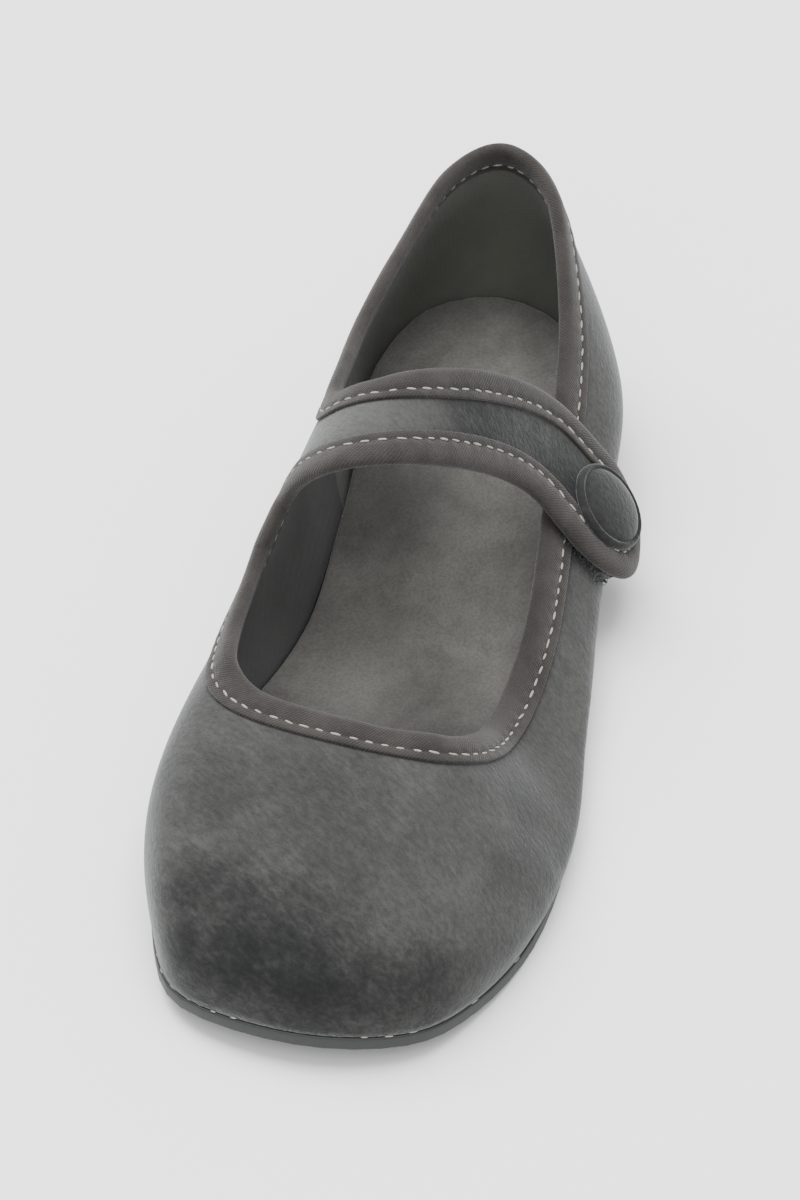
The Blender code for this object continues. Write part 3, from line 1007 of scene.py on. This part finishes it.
class FLAT_OT_stitches(bpy.types.Operator):
    """Sews the tape to the upper, and the upper to the sole at the toe"""

    bl_idname = "flat.stitches"
    bl_label = "Stitches"

    def execute(self, context):
        sizes = context.scene.flat_sizes
        path = edge_path(sizes.tape_step)
        total = path.lengths[-1]
        count = round(total / sizes.stitch_pitch)
        slack = random.Random(7)
        thread = thread_finish(context.scene.flat_colours)
        bead = bead_mesh()
        for name, side in (("outer_stitches", 1), ("inner_stitches", -1)):
            bm = bmesh.new()
            for k in range(count):
                i = path.at((k + 0.5) * total / count)
                across = sizes.stitch_inset - sizes.tape_lip + slack.uniform(-0.0001, 0.0001)
                height = path.half + sizes.tape_thickness * 0.30
                place = path.points[i] + path.across[i] * across + path.normals[i] * height * side
                run = path.runs[i] + path.across[i] * slack.uniform(-0.05, 0.22)
                length = sizes.stitch_length * slack.uniform(0.72, 1.08)
                width = sizes.thread_width * slack.uniform(0.85, 1.1)
                add_stitch(bm, bead, place, run, path.normals[i] * side, length, width)
            finish_piece(name, bm, [thread])
        self.sew_toe(thread, bead, sizes, slack)
        bpy.data.meshes.remove(bead)
        return {"FINISHED"}

    def sew_toe(self, thread, bead, sizes, slack):
        """Loose pale stitches that show between the velvet and the sole at the toe."""
        skin = merged("outsole")
        rims = sharp_loops(skin)[:2]
        rim = max(rims, key=lambda loop: sum(p.z for p in loop) / len(loop))
        skin.free()
        (points,) = through(rim, TOE_STEP)
        middle = sum(points, Vector()) / len(points)
        bm = bmesh.new()
        gone = 0.0
        for before, here in zip(points, points[1:]):
            gone += (here - before).length
            if here.x < TOE_STITCHES_FROM_X or gone < sizes.stitch_pitch:
                continue
            gone = slack.uniform(-0.0040, 0.0008)
            run = (here - before).normalized()
            inward = Vector((0, 0, 1)).cross(run)
            inward *= math.copysign(1, inward.dot(middle - here))
            normal = (Vector((0, 0, 1)) - inward).normalized()
            place = here + inward * slack.uniform(0.0003, 0.0008) + Vector((0, 0, 0.00020))
            length = sizes.stitch_length * slack.uniform(0.5, 1.1)
            run += normal * slack.uniform(-0.1, 0.1)
            add_stitch(bm, bead, place, run, normal, length, TOE_THREAD)
        finish_piece("toe_stitches", bm, [thread])


class FLAT_OT_sole(bpy.types.Operator):
    """Rounds the edges of the rubber outsole and heel"""

    bl_idname = "flat.sole"
    bl_label = "Sole"

    def execute(self, context):
        sizes = context.scene.flat_sizes
        rubber = rubber_finish(context.scene.flat_colours)
        for name, node in (("rubber_outsole", "outsole"), ("rubber_heel", "heel")):
            bm = merged(node)
            rims = [edge for edge in bm.edges if edge.calc_face_angle(0) > SHARP]
            bmesh.ops.bevel(
                bm,
                geom=rims,
                offset=sizes.sole_bevel,
                affect="EDGES",
                segments=3,
                profile=0.5,
                material=-1,
            )
            finish_piece(name, bm, [rubber], [node])
        return {"FINISHED"}


class FLAT_OT_insole(bpy.types.Operator):
    """Gives the insole its soft edge and its suede"""

    bl_idname = "flat.insole"
    bl_label = "Insole"

    def execute(self, context):
        bm = merged("insole")
        rims = [edge for edge in bm.edges if edge.calc_face_angle(0) > SHARP]
        bmesh.ops.bevel(
            bm,
            geom=rims,
            offset=context.scene.flat_sizes.insole_bevel,
            affect="EDGES",
            segments=4,
            profile=0.5,
            material=-1,
        )
        suede = suede_finish(context.scene.flat_colours)
        finish_piece("suede_insole", bm, [suede], ["insole"])
        return {"FINISHED"}


class FLAT_OT_button(bpy.types.Operator):
    """Covers the button with velvet"""

    bl_idname = "flat.button"
    bl_label = "Button"

    def execute(self, context):
        middle, axis, radius, low, high = disc("button")
        rise = high - low
        aside = axis.orthogonal().normalized()
        bm = bmesh.new()
        line = [
            bm.verts.new(middle + aside * radius * out + axis * (low + rise * up))
            for out, up in BUTTON_PROFILE
        ]
        edges = [bm.edges.new(pair) for pair in zip(line, line[1:])]
        bmesh.ops.spin(
            bm,
            geom=line + edges,
            cent=middle,
            axis=axis,
            angle=math.tau,
            steps=BUTTON_STEPS,
            use_merge=True,
        )
        bmesh.ops.remove_doubles(bm, verts=bm.verts, dist=1e-6)
        bmesh.ops.recalc_face_normals(bm, faces=bm.faces)
        patch = (((0.0, 0.0, 0.0), (1.0, 1.0, 1.0), 0.70),)
        velvet = velvet_finish("button_velvet", context.scene.flat_colours, patch)
        finish_piece("velvet_button", bm, [velvet], ["button"], levels=1)
        return {"FINISHED"}


def tuft_mesh(size):
    """One loop of thread in the X-Z plane, round the origin."""
    bm = bmesh.new()
    start = Matrix.Translation((size / 2, 0, 0))
    ring = bmesh.ops.create_circle(bm, segments=3, radius=size * 0.09, matrix=start)["verts"]
    bmesh.ops.spin(
        bm,
        geom=ring + list(bm.edges),
        cent=(0, 0, 0),
        axis=(0, 1, 0),
        angle=math.tau,
        steps=8,
        use_merge=True,
    )
    bmesh.ops.recalc_face_normals(bm, faces=bm.faces)
    mesh = bpy.data.meshes.new("tuft")
    bm.to_mesh(mesh)
    bm.free()
    return mesh


def tuft_place(place, normal, scale, turn):
    """Stands a tuft half out of a surface, turned about its normal and leaning."""
    aside = Matrix.Rotation(turn, 3, normal) @ normal.orthogonal().normalized()
    lean = (normal + aside.cross(normal) * math.sin(turn * 3) * 0.5).normalized()
    stand = Matrix((aside, lean.cross(aside), lean)).transposed().to_4x4()
    stand.translation = place
    return stand @ Matrix.Scale(scale, 4)


class FLAT_OT_fastening(bpy.types.Operator):
    """Makes the hook and loop patches under the strap's end"""

    bl_idname = "flat.fastening"
    bl_label = "Fastening"

    def execute(self, context):
        sizes = context.scene.flat_sizes
        fastening = fastening_finish(context.scene.flat_colours)
        tuft = tuft_mesh(sizes.tuft_size)
        slack = random.Random(11)
        for name, node, count, stray in PATCHES:
            bm = merged(node)
            places = self.places_on(bm, count, stray, sizes.tuft_fringe, slack)
            if name == "hook_patch":
                places += self.fringe_places(sizes.tape_step, slack)
            pile = self.pile(places, tuft, slack)
            bm.from_mesh(pile)
            bpy.data.meshes.remove(pile)
            finish_piece(name, bm, [fastening], [node])
        bpy.data.meshes.remove(tuft)
        return {"FINISHED"}

    def places_on(self, bm, count, stray, fringe, slack):
        """Places and normals spread over a patch, some of them strayed forwards."""
        faces = list(bm.faces)
        places = []
        for face in slack.choices(faces, [face.calc_area() for face in faces], k=count):
            shares = [slack.random() + 0.05 for _ in face.verts]
            place = sum((v.co * share for v, share in zip(face.verts, shares)), Vector())
            place /= sum(shares)
            if stray and slack.random() < stray:
                place.x += slack.uniform(0.3, 1.0) * fringe
            places.append((place, face.normal.copy()))
        return places

    def fringe_places(self, step, slack):
        """Places of loose tufts along the underside of the strap's front edge, near the button."""
        path = edge_path(step)
        middle = disc("button")[0]
        near = [
            i
            for i, point in enumerate(path.points)
            if path.across[i].x > 0.35
            and point.x > middle.x
            and abs(point.y - middle.y) < 0.0075
        ]
        places = []
        for _ in range(STRAP_FRINGE_TUFTS):
            i = slack.choice(near)
            place = path.points[i] + path.across[i] * slack.uniform(0.0, 0.0052)
            place -= path.normals[i] * (path.half + slack.uniform(0.0010, 0.0020))
            places.append((place, -path.normals[i]))
        return places

    def pile(self, places, tuft, slack):
        """A mesh of tufts, one at each place."""
        bm = bmesh.new()
        for place, normal in places:
            start = len(bm.verts)
            bm.from_mesh(tuft)
            bm.verts.ensure_lookup_table()
            scale, turn = slack.uniform(0.6, 1.15), slack.uniform(0, math.tau)
            stand = tuft_place(place, normal, scale, turn)
            for vert in bm.verts[start:]:
                vert.co = stand @ vert.co
        mesh = bpy.data.meshes.new("pile")
        bm.to_mesh(mesh)
        bm.free()
        return mesh


STEPS = (
    FLAT_OT_stage,
    FLAT_OT_upper,
    FLAT_OT_tape,
    FLAT_OT_stitches,
    FLAT_OT_sole,
    FLAT_OT_insole,
    FLAT_OT_button,
    FLAT_OT_fastening,
)


class FLAT_PT_finish(bpy.types.Panel):
    """Sizes, colours and steps of the flat's finish"""

    bl_label = "Ballet flat"
    bl_space_type = "VIEW_3D"
    bl_region_type = "UI"
    bl_category = "Ballet flat"

    def draw(self, context):
        for group in (context.scene.flat_sizes, context.scene.flat_colours):
            box = self.layout.box()
            for name in group.__annotations__:
                box.prop(group, name)
        for step in STEPS:
            self.layout.operator(step.bl_idname)


CLASSES = (FlatSizes, FlatColours, *STEPS, FLAT_PT_finish)


def register():
    for made in CLASSES:
        bpy.utils.register_class(made)
    bpy.types.Scene.flat_sizes = bpy.props.PointerProperty(type=FlatSizes)
    bpy.types.Scene.flat_colours = bpy.props.PointerProperty(type=FlatColours)


def unregister():
    del bpy.types.Scene.flat_colours
    del bpy.types.Scene.flat_sizes
    for made in reversed(CLASSES):
        bpy.utils.unregister_class(made)


def main():
    for leftover in ("Cube", "Light", "Camera"):
        if leftover in bpy.data.objects:
            bpy.data.objects.remove(bpy.data.objects[leftover])
    register()
    for step in STEPS:
        group, name = step.bl_idname.split(".")
        getattr(getattr(bpy.ops, group), name)()


if __name__ == "__main__":
    main()
